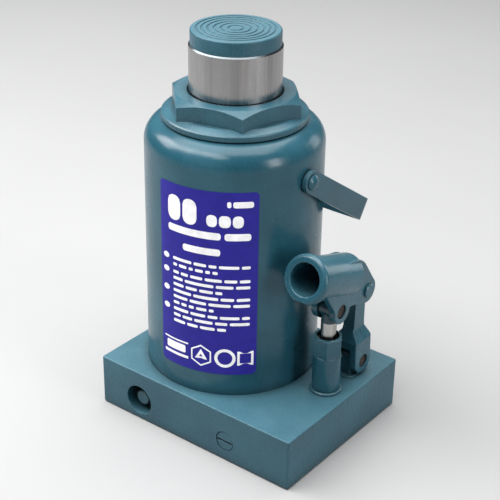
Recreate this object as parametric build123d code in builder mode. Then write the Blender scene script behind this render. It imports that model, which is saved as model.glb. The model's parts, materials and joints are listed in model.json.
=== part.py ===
"""A hydraulic bottle jack in millimetres: +Z up, -Y front, +X towards the pump.

The origin is on the ram's axis, at the underside of the base.
"""

import os
from math import asin, cos, radians, sin

from build123d import *

os.makedirs("parts", exist_ok=True)

# Driving dimensions
RUNNING = 0.05  # radial clearance of a shaft in its own bore
FIT = 0.1  # radial clearance of a part that is let into another and stays there
PRESS = 0.01  # radial clearance of a pressed or screwed fit
TOUCH = 0.02  # gap between two parts that rest on each other
PAST = 1  # how far a cut runs past the face that it opens

BASE_LEFT, BASE_RIGHT = -67, 103
BASE_WIDTH = 134
BASE_MIDDLE_Y = -2.5  # the block reaches further out at the front, where the valves are
BASE_HEIGHT = 39
BASE_CORNER = 1.8
BASE_EDGE = 1
BASE_FRONT = BASE_MIDDLE_Y - BASE_WIDTH / 2

TANK_RADIUS = 62
TANK_WALL = 3
TANK_FOOT = 36
TANK_TOP = 224
SHOULDER_RADIUS = 16
NECK_RADIUS = 44.2

CYLINDER_BORE = 38
CYLINDER_RADIUS = 45
CYLINDER_FOOT = 24
CYLINDER_TOP = 221
SEAT_FLOOR = 22

RAM_RADIUS = 31.5
RAM_FOOT = 24.8
RAM_TOP = 275
RAM_SPIGOT_RADIUS = 23
PISTON_TOP = 38
SADDLE_RADIUS = 30.5
SADDLE_TOP = 285
SADDLE_SPIGOT_RADIUS = 15
SADDLE_SPIGOT_LENGTH = 17

FLANGE_RADIUS = 50
FLANGE_EDGE_TOP = 228.8
HEX_FOOT = 231
HEX_TOP = 243
HEX_RADIUS = 47.5
HEX_TURN = -46
SKIRT_RADIUS = 40.9
SKIRT_FOOT = 208.5
SKIRT_GAP = 0.5

GALLERY_HEIGHT = 13.5
GALLERY_RADIUS = 2.2
DIVIDER_X = -9
RETURN_RADIUS = 51  # where the oil ways open into the tank's floor

PUMP_X = 84
PUMP_BORE = 5.5 + RUNNING
PUMP_SHANK_RADIUS = 8
PUMP_BODY_RADIUS = 10
PUMP_HEX_RADIUS = 10.8
PUMP_HEX_FOOT = 68
PUMP_TOP = 83
PUMP_HEX_TURN = -57
PLUNGER_RADIUS = 5.5
PLUNGER_FOOT = 38

# Pivots of the pump linkage, as (y, z) in the plane x = PUMP_X
LUG_PIVOT = (32, 50)
LINK_PIVOT = (32.4, 107.8)
PLUNGER_PIVOT = (0, 105)
LUG_PIN_RADIUS = 5
LINK_PIN_RADIUS = 4
PLUNGER_PIN_RADIUS = 3.6
PIN_HEAD_RADIUS = 5.2
PIN_HEAD_FOOT = 6.8  # the head's inner face, from the pump's axis
EYE_PLAY = 0.85  # the link's swing carries the plunger pin this far each way in its eye

EAR_OUTER = 10  # half the width over the socket's ears
EAR_INNER = 5.2  # half the gap between them
BLADE_HALF = 4.6
LUG_HALF = 4.5

SOCKET_TILT = 18.5
SOCKET_MOUTH = (PUMP_X, -31.8, 140)
SOCKET_RADIUS = 15
SOCKET_RIM_RADIUS = 17.1
SOCKET_RIM_LENGTH = 6
RIM_ROUND = 2.8
SOCKET_BORE = 11.4
SOCKET_DEPTH = 46
SOCKET_LENGTH = 52

BAIL_PIVOT_HEIGHT = 193.3
BAIL_INNER = 63  # half the width between the arms
BAIL_THICKNESS = 3
BAIL_WIDTH = 16
BAIL_REACH = 81
BAIL_HANG = -33.8
BAIL_STUD_RADIUS = 3.9
STUD_SHOULDER_RADIUS = 7
STUD_FOOT = 59.2

RELEASE_X, RELEASE_HEIGHT = -31, 16
RELEASE_RECESS_RADIUS = 11.5
RELEASE_RECESS_DEPTH = 12
OVERLOAD_X, OVERLOAD_HEIGHT = 48.4, 15.6

LABEL_MIDDLE = -70
LABEL_WIDTH = 68.6
LABEL_FOOT, LABEL_TOP = 56, 195
LABEL_THICKNESS = 0.2
LABEL_CORNER = 3

ACROSS = {"X": (0, 1, 0), "Y": (1, 0, 0), "Z": (1, 0, 0)}
ALONG = {"X": (1, 0, 0), "Y": (0, 1, 0), "Z": (0, 0, 1)}


def save(piece, name):
    """Label a finished piece and write its file."""
    piece.part.label = name
    export_step(piece.part, f"parts/{name}.step")


def turning_plane(origin, axis):
    """The plane where local x is the radius from an axis and local y the station along it."""
    across, along = Vector(ACROSS[axis]), Vector(ALONG[axis])
    return Plane(origin=origin, x_dir=across, z_dir=across.cross(along))


def turned(points, axis="Z", origin=(0, 0, 0)):
    """A turned piece, from the (radius, station) corners of half its section."""
    with BuildPart() as piece:
        with BuildSketch(turning_plane(origin, axis)):
            with BuildLine():
                Polyline(*points, close=True)
            make_face()
        revolve(axis=Axis(origin, ALONG[axis]))
    return piece


def ring(inner, outer, low, high, axis="Z", origin=(0, 0, 0)):
    """A plain ring between two stations of an axis."""
    return turned([(inner, low), (outer, low), (outer, high), (inner, high)], axis, origin)


def ball(radius, centre):
    """A valve ball."""
    with BuildPart() as piece:
        with Locations(centre):
            Sphere(radius)
    return piece


def drill(radius, start, end):
    """Cut a straight oil way out of the part being built."""
    way = Vector(*end) - Vector(*start)
    with BuildSketch(Plane(origin=start, z_dir=way)) as hole:
        Circle(radius)
    extrude(hole.sketch, amount=way.length, mode=Mode.SUBTRACT)


def bore_from_front(radius, x, height, depth, start=0):
    """Cut a round bore that runs into the base from its front face."""
    with BuildSketch(Plane(origin=(x, BASE_FRONT + start, height), z_dir=(0, 1, 0))) as hole:
        Circle(radius)
    extrude(hole.sketch, amount=depth - start, mode=Mode.SUBTRACT)


# Base: the block with its galleries and its valve bores
RELEASE_SEAT_Y = -12
RELEASE_CHAMBER_RADIUS = 5
RELEASE_THREAD_RADIUS = 8
RELEASE_GLAND_FOOT_Y = -42
OVERLOAD_SEAT_Y = -18
OVERLOAD_CHAMBER_RADIUS = 4.6
OVERLOAD_THREAD_RADIUS = 7.6
OVERLOAD_THREAD_DEPTH = 16
SUCTION_SEAT_HEIGHT = 10.5
SUCTION_CHAMBER_RADIUS = 4
DELIVERY_SEAT_HEIGHT = 16.6
DELIVERY_POCKET_RADIUS = 3.6
BALL_RADIUS = 2.6
BALL_SEAT_RADIUS = 1.9
BALL_RISE = (BALL_RADIUS**2 - BALL_SEAT_RADIUS**2) ** 0.5
OIL_WAY_RADIUS = 1.8
CYLINDER_WAY_X = -20
SUCTION_SEAL_STEP = 1  # the pump barrel's seal lies this far below the barrel's foot
GALLERY_PLUG_DEPTH = 12
GALLERY_PLUG_RADIUS = 5
SEAL_GROOVE_FLOOR = 34.5
SEAL_INNER_RADIUS = 57
GALLERY = (PUMP_X, 0, GALLERY_HEIGHT)
RELEASE_RETURN_Y = -((RETURN_RADIUS**2 - RELEASE_X**2) ** 0.5)
OVERLOAD_RETURN_Y = -((RETURN_RADIUS**2 - OVERLOAD_X**2) ** 0.5) - 2
SUCTION_START = (46, 22, BASE_HEIGHT + PAST)
SUCTION_END = (PUMP_X, 0, 4.5)

with BuildPart() as base:
    with BuildSketch():
        with Locations(((BASE_LEFT + BASE_RIGHT) / 2, BASE_MIDDLE_Y)):
            RectangleRounded(BASE_RIGHT - BASE_LEFT, BASE_WIDTH, BASE_CORNER)
    extrude(amount=BASE_HEIGHT)
    fillet(base.faces().sort_by(Axis.Z)[-1].edges(), BASE_EDGE)
    chamfer(base.faces().sort_by(Axis.Z)[0].edges(), BASE_EDGE)
    with BuildSketch(Plane.XY.offset(SEAT_FLOOR)):
        Circle(CYLINDER_RADIUS + FIT)
    extrude(amount=BASE_HEIGHT, mode=Mode.SUBTRACT)
    with BuildSketch(Plane.XY.offset(SEAL_GROOVE_FLOOR)):
        Circle(TANK_RADIUS + FIT)
        Circle(SEAL_INNER_RADIUS, mode=Mode.SUBTRACT)
    extrude(amount=BASE_HEIGHT, mode=Mode.SUBTRACT)
    with BuildSketch(Plane.XY.offset(CYLINDER_FOOT - SUCTION_SEAL_STEP)):
        with Locations((PUMP_X, 0)):
            Circle(PUMP_SHANK_RADIUS + RUNNING)
    extrude(amount=BASE_HEIGHT, mode=Mode.SUBTRACT)
    drill(GALLERY_RADIUS, (BASE_LEFT - PAST, 0, GALLERY_HEIGHT), GALLERY)
    drill(GALLERY_PLUG_RADIUS, (BASE_LEFT - PAST, 0, GALLERY_HEIGHT),
          (BASE_LEFT + GALLERY_PLUG_DEPTH, 0, GALLERY_HEIGHT))
    drill(BALL_SEAT_RADIUS, (0, 0, GALLERY_HEIGHT), (0, 0, SEAT_FLOOR))
    drill(DELIVERY_POCKET_RADIUS, (0, 0, DELIVERY_SEAT_HEIGHT), (0, 0, SEAT_FLOOR + PAST))
    drill(OIL_WAY_RADIUS, (CYLINDER_WAY_X, 0, GALLERY_HEIGHT),
          (CYLINDER_WAY_X, 0, SEAT_FLOOR + PAST))
    drill(SUCTION_CHAMBER_RADIUS, (PUMP_X, 0, SUCTION_SEAT_HEIGHT), (PUMP_X, 0, CYLINDER_FOOT))
    drill(BALL_SEAT_RADIUS, SUCTION_END, (PUMP_X, 0, SUCTION_SEAT_HEIGHT + PAST))
    drill(OIL_WAY_RADIUS, SUCTION_START, SUCTION_END)
    bore_from_front(RELEASE_RECESS_RADIUS, RELEASE_X, RELEASE_HEIGHT, RELEASE_RECESS_DEPTH, -PAST)
    bore_from_front(RELEASE_THREAD_RADIUS, RELEASE_X, RELEASE_HEIGHT,
                    RELEASE_GLAND_FOOT_Y - BASE_FRONT)
    bore_from_front(RELEASE_CHAMBER_RADIUS, RELEASE_X, RELEASE_HEIGHT, RELEASE_SEAT_Y - BASE_FRONT)
    bore_from_front(BALL_SEAT_RADIUS, RELEASE_X, RELEASE_HEIGHT, -BASE_FRONT)
    drill(OIL_WAY_RADIUS, (RELEASE_X, RELEASE_RETURN_Y, RELEASE_HEIGHT),
          (RELEASE_X, RELEASE_RETURN_Y, BASE_HEIGHT + PAST))
    bore_from_front(OVERLOAD_THREAD_RADIUS, OVERLOAD_X, OVERLOAD_HEIGHT, OVERLOAD_THREAD_DEPTH, -PAST)
    bore_from_front(OVERLOAD_CHAMBER_RADIUS, OVERLOAD_X, OVERLOAD_HEIGHT,
                    OVERLOAD_SEAT_Y - BASE_FRONT)
    bore_from_front(BALL_SEAT_RADIUS, OVERLOAD_X, OVERLOAD_HEIGHT, -BASE_FRONT)
    drill(OIL_WAY_RADIUS, (OVERLOAD_X, OVERLOAD_RETURN_Y, OVERLOAD_HEIGHT),
          (OVERLOAD_X, OVERLOAD_RETURN_Y, BASE_HEIGHT + PAST))
save(base, "base")

# Link bracket: a low pad welded to the base, with the lug that the pump's link turns on
LUG_RADIUS = 8.6
PAD_HEIGHT = 1
PAD_SIZE = (16, 27)
PAD_CORNER = 7
PAD_Y = 32.5
PAD_TAPER = 20
with BuildPart() as link_bracket:
    with BuildSketch(Plane.XY.offset(BASE_HEIGHT)):
        with Locations((PUMP_X, PAD_Y)):
            RectangleRounded(*PAD_SIZE, PAD_CORNER)
    extrude(amount=PAD_HEIGHT, taper=PAD_TAPER)
    with BuildSketch(Plane.YZ.offset(PUMP_X - LUG_HALF)):
        with Locations(LUG_PIVOT):
            Circle(LUG_RADIUS)
        with Locations((LUG_PIVOT[0], (LUG_PIVOT[1] + BASE_HEIGHT) / 2)):
            Rectangle(2 * LUG_RADIUS, LUG_PIVOT[1] - BASE_HEIGHT)
    extrude(amount=2 * LUG_HALF)
    with BuildSketch(Plane.YZ.offset(PUMP_X - EAR_OUTER)):
        with Locations(LUG_PIVOT):
            Circle(LUG_PIN_RADIUS + RUNNING)
    extrude(amount=2 * EAR_OUTER, mode=Mode.SUBTRACT)
save(link_bracket, "link_bracket")

# Gallery plug, with a hexagon socket, and the ball that parts the pump's side from the ram's
PLUG_SUNK = 0.4
PLUG_CHAMFER = 0.6
PLUG_KEY_RADIUS, PLUG_KEY_DEPTH = 2.9, 5
plug_plane = Plane(origin=(BASE_LEFT + PLUG_SUNK, 0, GALLERY_HEIGHT), z_dir=(1, 0, 0))
with BuildPart() as gallery_plug:
    with BuildSketch(plug_plane):
        Circle(GALLERY_PLUG_RADIUS)
    extrude(amount=GALLERY_PLUG_DEPTH - PLUG_SUNK)
    chamfer(gallery_plug.faces().sort_by(Axis.X)[0].edges(), PLUG_CHAMFER)
    with BuildSketch(plug_plane):
        RegularPolygon(PLUG_KEY_RADIUS, 6)
    extrude(amount=PLUG_KEY_DEPTH, mode=Mode.SUBTRACT)
save(gallery_plug, "gallery_plug")
save(ball(GALLERY_RADIUS, (DIVIDER_X, 0, GALLERY_HEIGHT)), "gallery_divider_ball")

# Pressure cylinder and its gasket
save(ring(CYLINDER_BORE, CYLINDER_RADIUS, SEAT_FLOOR, CYLINDER_FOOT), "cylinder_gasket")
pressure_cylinder = turned([
    (CYLINDER_BORE, CYLINDER_FOOT), (CYLINDER_RADIUS, CYLINDER_FOOT),
    (CYLINDER_RADIUS, CYLINDER_TOP), (SKIRT_RADIUS, CYLINDER_TOP),
    (SKIRT_RADIUS, SKIRT_FOOT - SKIRT_GAP), (CYLINDER_BORE, SKIRT_FOOT - SKIRT_GAP),
])
save(pressure_cylinder, "pressure_cylinder")

# Reservoir tank: a drawn shell with a round shoulder
FILLER_TURN, FILLER_HEIGHT, FILLER_RADIUS = 140, 199, 5
filler_out = Vector(cos(radians(FILLER_TURN)), sin(radians(FILLER_TURN)), 0)
filler_plane = Plane(origin=filler_out * TANK_RADIUS + Vector(0, 0, FILLER_HEIGHT),
                     z_dir=filler_out)
SHOULDER_HEIGHT = TANK_TOP - SHOULDER_RADIUS
SHOULDER_CENTRE = TANK_RADIUS - SHOULDER_RADIUS
with BuildPart() as reservoir_tank:
    with BuildSketch(Plane.XZ):
        with BuildLine():
            Polyline((NECK_RADIUS, TANK_TOP - TANK_WALL), (NECK_RADIUS, TANK_TOP),
                     (SHOULDER_CENTRE, TANK_TOP))
            RadiusArc((SHOULDER_CENTRE, TANK_TOP), (TANK_RADIUS, SHOULDER_HEIGHT),
                      SHOULDER_RADIUS)
            Polyline((TANK_RADIUS, SHOULDER_HEIGHT), (TANK_RADIUS, TANK_FOOT),
                     (TANK_RADIUS - TANK_WALL, TANK_FOOT),
                     (TANK_RADIUS - TANK_WALL, SHOULDER_HEIGHT))
            RadiusArc((SHOULDER_CENTRE, TANK_TOP - TANK_WALL),
                      (TANK_RADIUS - TANK_WALL, SHOULDER_HEIGHT), SHOULDER_RADIUS - TANK_WALL)
            Line((SHOULDER_CENTRE, TANK_TOP - TANK_WALL), (NECK_RADIUS, TANK_TOP - TANK_WALL))
        make_face()
    revolve(axis=Axis.Z)
    with BuildSketch(filler_plane.offset(-2 * TANK_WALL)):
        Circle(FILLER_RADIUS)
    extrude(amount=3 * TANK_WALL, mode=Mode.SUBTRACT)
    with BuildSketch(Plane.YZ.offset(-TANK_RADIUS - PAST)):
        with Locations((0, BAIL_PIVOT_HEIGHT)):
            Circle(STUD_SHOULDER_RADIUS + PRESS)
    extrude(amount=2 * (TANK_RADIUS + PAST), mode=Mode.SUBTRACT)
save(reservoir_tank, "reservoir_tank")
save(ring(SEAL_INNER_RADIUS, TANK_RADIUS, SEAL_GROOVE_FLOOR, TANK_FOOT), "tank_lower_seal")
save(ring(SKIRT_RADIUS, NECK_RADIUS, CYLINDER_TOP, TANK_TOP), "tank_upper_seal")

# Oil filler plug: a rubber bung with a domed head and a barb inside the tank
BUNG_START, BUNG_LENGTH = -6, 7  # stations are along the bung, from the tank's outside
BARB_START, BARB_LENGTH, BARB_STEP, BARB_TAPER = -5.8, 2, 1, 15
HEAD_START, HEAD_THICKNESS, HEAD_RADIUS, HEAD_ROUND = 0.6, 2.6, 7.5, 1.2
with BuildPart() as oil_filler_plug:
    with BuildSketch(filler_plane.offset(BUNG_START)):
        Circle(FILLER_RADIUS)
    extrude(amount=BUNG_LENGTH)
    with BuildSketch(filler_plane.offset(BARB_START)):
        Circle(FILLER_RADIUS + BARB_STEP)
    extrude(amount=BARB_LENGTH, taper=BARB_TAPER)
    with BuildSketch(filler_plane.offset(HEAD_START)):
        Circle(HEAD_RADIUS)
    extrude(amount=HEAD_THICKNESS)
    fillet(oil_filler_plug.faces().sort_by(Axis((0, 0, 0), filler_out))[-1].edges(), HEAD_ROUND)
save(oil_filler_plug, "oil_filler_plug")

# Top nut: a flange over the tank, a hexagon above it and a threaded skirt in the cylinder
RAM_HOLE = RAM_RADIUS + RUNNING
GUIDE_GROOVE = (34, 210.5, 219.5)
ORING_GROOVE = (35, 225.5, 229.5)
WIPER_GROOVE = (35.4, 235.5, 240.5)
MOUTH_RADIUS = 32.7
MOUTH_FOOT, MOUTH_LIP = HEX_TOP - 2, HEX_TOP - 0.4
FLANGE_EASE = 0.8
DOME_FOOT_RADIUS = 44  # where the flange's slope meets the hexagon
CORNER_FOOT = HEX_TOP - 4.7
CORNER_MIDDLE = (HEX_RADIUS, HEX_TOP - 3.8)
CORNER_TOP = (HEX_RADIUS - 6.6, HEX_TOP)
CLEAR = HEX_RADIUS + 2  # outside every corner of the hexagon
with BuildPart() as top_nut:
    with BuildSketch(Plane.XY.offset(HEX_FOOT - PAST)):
        RegularPolygon(HEX_RADIUS, 6, rotation=HEX_TURN)
    extrude(amount=HEX_TOP - HEX_FOOT + PAST)
    with BuildSketch(Plane.XZ):
        with BuildLine():
            Polyline((0, HEX_FOOT - 2 * PAST), (CLEAR, HEX_FOOT - 2 * PAST),
                     (CLEAR, CORNER_FOOT), CORNER_MIDDLE, CORNER_TOP, (0, HEX_TOP), close=True)
        make_face()
    revolve(axis=Axis.Z, mode=Mode.INTERSECT)
    with BuildSketch(Plane.XZ):
        with BuildLine():
            Polyline((0, SKIRT_FOOT), (SKIRT_RADIUS, SKIRT_FOOT), (SKIRT_RADIUS, TANK_TOP),
                     (FLANGE_RADIUS - FLANGE_EASE, TANK_TOP),
                     (FLANGE_RADIUS, TANK_TOP + FLANGE_EASE),
                     (FLANGE_RADIUS, FLANGE_EDGE_TOP - FLANGE_EASE),
                     (FLANGE_RADIUS - FLANGE_EASE, FLANGE_EDGE_TOP),
                     (DOME_FOOT_RADIUS, HEX_FOOT), (0, HEX_FOOT), close=True)
        make_face()
    revolve(axis=Axis.Z)
    with BuildSketch(Plane.XZ):
        with BuildLine():
            Polyline((0, SKIRT_FOOT - PAST), (RAM_HOLE, SKIRT_FOOT - PAST), (RAM_HOLE, MOUTH_FOOT),
                     (MOUTH_RADIUS, MOUTH_LIP), (MOUTH_RADIUS, HEX_TOP + PAST),
                     (0, HEX_TOP + PAST), close=True)
        make_face()
    revolve(axis=Axis.Z, mode=Mode.SUBTRACT)
    for outer, low, high in (GUIDE_GROOVE, ORING_GROOVE, WIPER_GROOVE):
        with BuildSketch(Plane.XY.offset(low)):
            Circle(outer)
        extrude(amount=high - low, mode=Mode.SUBTRACT)
save(top_nut, "top_nut")
for name, groove in (("ram_guide_ring", GUIDE_GROOVE), ("ram_oil_seal", ORING_GROOVE),
                     ("ram_wiper", WIPER_GROOVE)):
    save(ring(RAM_HOLE, *groove), name)

# Ram: rod, saddle and the piston's ring, cup seal, plate and screw
RETAINER_FOOT = 22.3
SEAL_TOP = 30.5
SCREW_RADIUS = 6
SCREW_HOLE_TOP = RAM_FOOT + 22
RAM_EDGE = 0.9
ram_rod = turned([
    (SCREW_RADIUS, RAM_FOOT), (RAM_SPIGOT_RADIUS, RAM_FOOT), (RAM_SPIGOT_RADIUS, PISTON_TOP),
    (RAM_RADIUS, PISTON_TOP), (RAM_RADIUS, RAM_TOP - RAM_EDGE), (RAM_RADIUS - RAM_EDGE, RAM_TOP),
    (SADDLE_SPIGOT_RADIUS, RAM_TOP), (SADDLE_SPIGOT_RADIUS, RAM_TOP - SADDLE_SPIGOT_LENGTH),
    (0, RAM_TOP - SADDLE_SPIGOT_LENGTH), (0, SCREW_HOLE_TOP), (SCREW_RADIUS, SCREW_HOLE_TOP),
])
save(ram_rod, "ram_rod")
save(ring(RAM_SPIGOT_RADIUS, CYLINDER_BORE - RUNNING, SEAL_TOP, PISTON_TOP), "piston_ring")
CUP_FLOOR = RAM_FOOT + 2.8
piston_cup_seal = turned([
    (RAM_SPIGOT_RADIUS, RAM_FOOT), (28.5, RAM_FOOT), (29.5, CUP_FLOOR),
    (33.5, CUP_FLOOR), (35, RAM_FOOT), (CYLINDER_BORE - RUNNING, RAM_FOOT),
    (CYLINDER_BORE - RUNNING, SEAL_TOP), (RAM_SPIGOT_RADIUS, SEAL_TOP),
])
save(piston_cup_seal, "piston_cup_seal")
SCREW_HEAD_RADIUS = SCREW_RADIUS + RAM_FOOT - RETAINER_FOOT
retainer_plate = turned([
    (SCREW_HEAD_RADIUS, RETAINER_FOOT), (28, RETAINER_FOOT), (28.4, RAM_FOOT),
    (SCREW_RADIUS, RAM_FOOT),
])
save(retainer_plate, "seal_retainer_plate")
SCREW_END = RAM_FOOT + 20
SCREW_KEY_RADIUS, SCREW_KEY_DEPTH = 3.4, 4
with BuildPart() as retainer_screw:
    with BuildSketch(Plane.XZ):
        with BuildLine():
            Polyline((0, RETAINER_FOOT), (SCREW_HEAD_RADIUS, RETAINER_FOOT),
                     (SCREW_RADIUS, RAM_FOOT), (SCREW_RADIUS, SCREW_END - 1),
                     (SCREW_RADIUS - 1, SCREW_END), (0, SCREW_END), close=True)
        make_face()
    revolve(axis=Axis.Z)
    with BuildSketch(Plane.XY.offset(RETAINER_FOOT)):
        RegularPolygon(SCREW_KEY_RADIUS, 6)
    extrude(amount=SCREW_KEY_DEPTH, mode=Mode.SUBTRACT)
save(retainer_screw, "retainer_screw")

# Saddle: the load pad, with turned grooves in its top
GROOVE_RADII = (5, 10, 14.5, 18.7, 22.6, 26.2)
GROOVE_WIDTH = 1.5
GROOVE_DEPTH = 0.6
SADDLE_EDGE = 1.3
SPIGOT_GAP = 0.3
with BuildPart() as saddle:
    with BuildSketch(Plane.XY.offset(RAM_TOP - SADDLE_SPIGOT_LENGTH + SPIGOT_GAP)):
        Circle(SADDLE_SPIGOT_RADIUS)
    extrude(amount=SADDLE_SPIGOT_LENGTH)
    with BuildSketch(Plane.XY.offset(RAM_TOP)):
        Circle(SADDLE_RADIUS)
    extrude(amount=SADDLE_TOP - RAM_TOP)
    fillet(saddle.faces().sort_by(Axis.Z)[-1].edges(), SADDLE_EDGE)
    for radius in GROOVE_RADII:
        with BuildSketch(Plane.XY.offset(SADDLE_TOP - GROOVE_DEPTH)):
            Circle(radius + GROOVE_WIDTH / 2)
            Circle(radius - GROOVE_WIDTH / 2, mode=Mode.SUBTRACT)
        extrude(amount=GROOVE_DEPTH, mode=Mode.SUBTRACT)
save(saddle, "saddle")

# Label: a thin sheet stuck round the front of the tank
label_out = (cos(radians(LABEL_MIDDLE)), sin(radians(LABEL_MIDDLE)), 0)
label_across = (-sin(radians(LABEL_MIDDLE)), cos(radians(LABEL_MIDDLE)), 0)
with BuildPart() as label:
    with BuildSketch(Plane.XY.offset(LABEL_FOOT - PAST)):
        Circle(TANK_RADIUS + TOUCH + LABEL_THICKNESS)
        Circle(TANK_RADIUS + TOUCH, mode=Mode.SUBTRACT)
    extrude(amount=LABEL_TOP - LABEL_FOOT + 2 * PAST)
    label_plane = Plane(origin=(0, 0, (LABEL_FOOT + LABEL_TOP) / 2), x_dir=label_across,
                        z_dir=label_out)
    with BuildSketch(label_plane):
        RectangleRounded(LABEL_WIDTH, LABEL_TOP - LABEL_FOOT, LABEL_CORNER)
    extrude(amount=2 * TANK_RADIUS, mode=Mode.INTERSECT)
save(label, "label")

# Carry handle: a flat strip bent to a U, hanging behind the tank
BAIL_CORNER = 7
bail_out = Vector(0, cos(radians(BAIL_HANG)), sin(radians(BAIL_HANG)))
bail_pivot = Vector(0, 0, BAIL_PIVOT_HEIGHT)
bail_plane = Plane(origin=bail_pivot, x_dir=(1, 0, 0), z_dir=Vector(1, 0, 0).cross(bail_out))
BAIL_OUTER = BAIL_INNER + BAIL_THICKNESS
BAIL_END = -BAIL_WIDTH / 2
with BuildPart() as carry_handle:
    with BuildSketch(bail_plane.offset(-BAIL_WIDTH / 2)):
        with BuildLine():
            FilletPolyline((-BAIL_OUTER, BAIL_END), (-BAIL_OUTER, BAIL_REACH + BAIL_THICKNESS),
                           (BAIL_OUTER, BAIL_REACH + BAIL_THICKNESS), (BAIL_OUTER, BAIL_END),
                           radius=BAIL_CORNER)
            Line((BAIL_OUTER, BAIL_END), (BAIL_INNER, BAIL_END))
            FilletPolyline((BAIL_INNER, BAIL_END), (BAIL_INNER, BAIL_REACH),
                           (-BAIL_INNER, BAIL_REACH), (-BAIL_INNER, BAIL_END),
                           radius=BAIL_CORNER - BAIL_THICKNESS)
            Line((-BAIL_INNER, BAIL_END), (-BAIL_OUTER, BAIL_END))
        make_face()
    extrude(amount=BAIL_WIDTH)
    with BuildSketch(Plane(origin=bail_pivot - Vector(BAIL_OUTER + PAST, 0, 0), x_dir=bail_out,
                           z_dir=(1, 0, 0))):
        Circle(BAIL_WIDTH / 2)
        with Locations((BAIL_REACH, 0)):
            Rectangle(2 * BAIL_REACH, BAIL_WIDTH)
    extrude(amount=2 * (BAIL_OUTER + PAST), mode=Mode.INTERSECT)
    with BuildSketch(Plane.YZ.offset(-BAIL_OUTER - PAST)):
        with Locations((0, BAIL_PIVOT_HEIGHT)):
            Circle(BAIL_STUD_RADIUS + FIT)
    extrude(amount=2 * (BAIL_OUTER + PAST), mode=Mode.SUBTRACT)
save(carry_handle, "carry_handle")

# Handle studs: a shoulder welded into the tank on each side, a shank and a domed head
HEAD_FOOT = BAIL_OUTER + 0.15
SHOULDER_END = BAIL_INNER - FIT
STUD_HEAD_RADIUS = 5.5
STUD_RIM = 0.6
DOME_HEIGHT = 2.2
DOME_RADIUS = (STUD_HEAD_RADIUS**2 + DOME_HEIGHT**2) / (2 * DOME_HEIGHT)
DOME_TOP = HEAD_FOOT + STUD_RIM + DOME_HEIGHT
half_turn = asin(STUD_HEAD_RADIUS / DOME_RADIUS) / 2
with BuildPart() as handle_studs:
    for side in (1, -1):
        with BuildSketch(Plane.XY.offset(BAIL_PIVOT_HEIGHT)):
            with BuildLine():
                Polyline((side * DOME_TOP, 0), (side * STUD_FOOT, 0),
                         (side * STUD_FOOT, STUD_SHOULDER_RADIUS),
                         (side * SHOULDER_END, STUD_SHOULDER_RADIUS),
                         (side * SHOULDER_END, BAIL_STUD_RADIUS),
                         (side * HEAD_FOOT, BAIL_STUD_RADIUS), (side * HEAD_FOOT, STUD_HEAD_RADIUS),
                         (side * (HEAD_FOOT + STUD_RIM), STUD_HEAD_RADIUS))
                ThreePointArc((side * (HEAD_FOOT + STUD_RIM), STUD_HEAD_RADIUS),
                              (side * (DOME_TOP - DOME_RADIUS * (1 - cos(half_turn))),
                               DOME_RADIUS * sin(half_turn)),
                              (side * DOME_TOP, 0))
            make_face()
        revolve(axis=Axis((0, 0, BAIL_PIVOT_HEIGHT), (1, 0, 0)))
save(handle_studs, "handle_studs")

# Pump: barrel with a hexagon head, washers, seals, gland nut
PUMP_ORIGIN = (PUMP_X, 0, 0)
PUMP_RECESS_RADIUS = 7.8
PUMP_RECESS_FLOOR = 71
GLAND_FOOT, GLAND_TOP = 75, 80.4
WASHER_RADIUS, WASHER_TOP = 11.3, BASE_HEIGHT + 2
HEX_EASE = PUMP_HEX_RADIUS + 0.6  # outside the corners, where the turned chamfers start
with BuildPart() as pump_barrel:
    with BuildSketch(Plane.XY.offset(PUMP_HEX_FOOT)):
        with Locations((PUMP_X, 0)):
            RegularPolygon(PUMP_HEX_RADIUS, 6, rotation=PUMP_HEX_TURN)
    extrude(amount=PUMP_TOP - PUMP_HEX_FOOT)
    with BuildSketch(turning_plane(PUMP_ORIGIN, "Z")):
        with BuildLine():
            Polyline((0, PUMP_HEX_FOOT - PAST), (PUMP_HEX_RADIUS - 1, PUMP_HEX_FOOT - PAST),
                     (HEX_EASE, PUMP_HEX_FOOT + 0.9), (HEX_EASE, PUMP_TOP - 1.4),
                     (PUMP_HEX_RADIUS - 2, PUMP_TOP), (0, PUMP_TOP), close=True)
        make_face()
    revolve(axis=Axis(PUMP_ORIGIN, (0, 0, 1)), mode=Mode.INTERSECT)
    with BuildSketch(turning_plane(PUMP_ORIGIN, "Z")):
        with BuildLine():
            Polyline((0, CYLINDER_FOOT), (PUMP_SHANK_RADIUS, CYLINDER_FOOT),
                     (PUMP_SHANK_RADIUS, WASHER_TOP), (PUMP_BODY_RADIUS - 0.6, WASHER_TOP),
                     (PUMP_BODY_RADIUS, WASHER_TOP + 0.6), (PUMP_BODY_RADIUS, PUMP_HEX_FOOT),
                     (0, PUMP_HEX_FOOT), close=True)
        make_face()
    revolve(axis=Axis(PUMP_ORIGIN, (0, 0, 1)))
    drill(PUMP_BORE, (PUMP_X, 0, CYLINDER_FOOT - PAST), (PUMP_X, 0, PUMP_TOP + PAST))
    drill(PUMP_RECESS_RADIUS, (PUMP_X, 0, PUMP_RECESS_FLOOR),
          (PUMP_X, 0, PUMP_TOP + PAST))
save(pump_barrel, "pump_barrel")
save(ring(PUMP_BORE, PUMP_SHANK_RADIUS, CYLINDER_FOOT - SUCTION_SEAL_STEP,
          CYLINDER_FOOT, "Z", PUMP_ORIGIN), "pump_foot_seal")
pump_washer = turned([
    (PUMP_SHANK_RADIUS, BASE_HEIGHT), (WASHER_RADIUS, BASE_HEIGHT),
    (WASHER_RADIUS, WASHER_TOP - 0.8), (WASHER_RADIUS - 0.8, WASHER_TOP),
    (PUMP_SHANK_RADIUS, WASHER_TOP),
], "Z", PUMP_ORIGIN)
save(pump_washer, "pump_washer")
save(ring(PUMP_BORE, PUMP_RECESS_RADIUS, PUMP_RECESS_FLOOR, GLAND_FOOT, "Z", PUMP_ORIGIN),
     "plunger_seal")
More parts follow.
